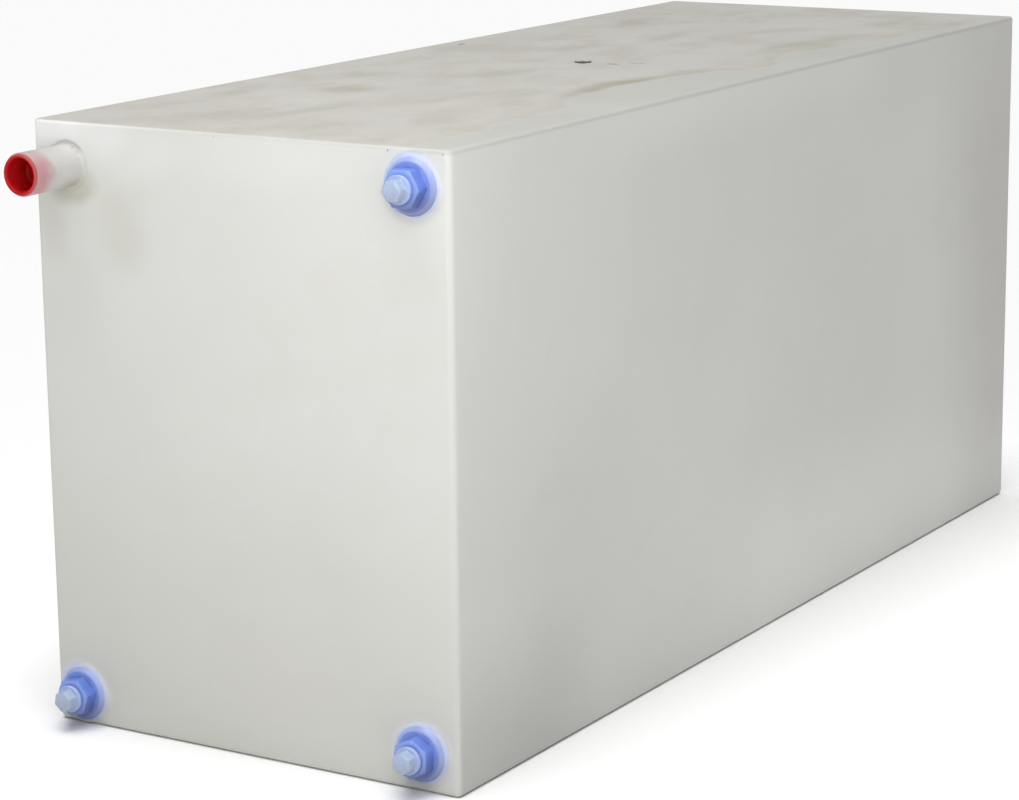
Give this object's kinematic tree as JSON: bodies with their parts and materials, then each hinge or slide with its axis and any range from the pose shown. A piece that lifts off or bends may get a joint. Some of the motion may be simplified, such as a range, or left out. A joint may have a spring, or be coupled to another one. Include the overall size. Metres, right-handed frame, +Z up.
{
  "type": "fresh water tank",
  "caption": "Rectangular moulded fresh water tank with a capped fill spout and plugged, welded threaded ports in one end wall, for fitting under a counter or floor",
  "frame": {"origin": "the centre of the tank's flat underside, on the surface that the tank stands on", "axes": "+Z up, +Y along the tank's length away from the wall that carries the ports, +X across its width"},
  "size_m": [0.36, 1.0221, 0.4583],
  "materials": {
    "tank_skin": "natural translucent rotomoulded polyethylene, satin, slightly mottled",
    "spout_plastic": "natural translucent polyethylene tube, satin",
    "fitting_plastic": "periwinkle blue moulded polyethylene, soft gloss",
    "plug_plastic": "pale translucent moulded polyethylene, soft gloss",
    "washer_silicone": "translucent silicone over a blue port, matte",
    "cap_plastic": "red low-density polyethylene, smooth"
  },
  "bodies": {
    "tank": {"tank_shell": "tank_skin", "fill_spout": "spout_plastic", "mould_vent_plug": "tank_skin", "vent_fitting": "fitting_plastic", "outlet_fitting": "fitting_plastic", "drain_fitting": "fitting_plastic"},
    "vent_washer": {"vent_washer": "washer_silicone"},
    "vent_plug": {"vent_plug": "plug_plastic"},
    "outlet_washer": {"outlet_washer": "washer_silicone"},
    "outlet_plug": {"outlet_plug": "plug_plastic"},
    "drain_washer": {"drain_washer": "washer_silicone"},
    "drain_plug": {"drain_plug": "plug_plastic"},
    "fill_cap": {"fill_cap": "cap_plastic"}
  },
  "joints": [
    {"name": "vent_plug_lead", "type": "slide", "parent": "tank", "child": "vent_washer", "axis": [0, -1, 0], "range_m": [0, 0.0113]},
    {"name": "vent_plug_turn", "type": "hinge", "parent": "vent_washer", "child": "vent_plug", "pos_m": [0.15, -0.5021, 0.431], "axis": [0, -1, 0], "range_deg": [0, 2880]},
    {"name": "outlet_plug_lead", "type": "slide", "parent": "tank", "child": "outlet_washer", "axis": [0, -1, 0], "range_m": [0, 0.0113]},
    {"name": "outlet_plug_turn", "type": "hinge", "parent": "outlet_washer", "child": "outlet_plug", "pos_m": [-0.1545, -0.5021, 0.0242], "axis": [0, -1, 0], "range_deg": [0, 2880]},
    {"name": "drain_plug_lead", "type": "slide", "parent": "tank", "child": "drain_washer", "axis": [0, -1, 0], "range_m": [0, 0.0113]},
    {"name": "drain_plug_turn", "type": "hinge", "parent": "drain_washer", "child": "drain_plug", "pos_m": [0.1485, -0.5021, 0.0287], "axis": [0, -1, 0], "range_deg": [0, 2880]},
    {"name": "fill_cap_pull", "type": "slide", "parent": "tank", "child": "fill_cap", "axis": [0, -1, 0], "range_m": [0, 0.03]}
  ],
  "couplings": [
    {"joint": "vent_plug_lead", "follows": "vent_plug_turn", "m_per_rad": 0.00022459},
    {"joint": "outlet_plug_lead", "follows": "outlet_plug_turn", "m_per_rad": 0.00022459},
    {"joint": "drain_plug_lead", "follows": "drain_plug_turn", "m_per_rad": 0.00022459}
  ]
}
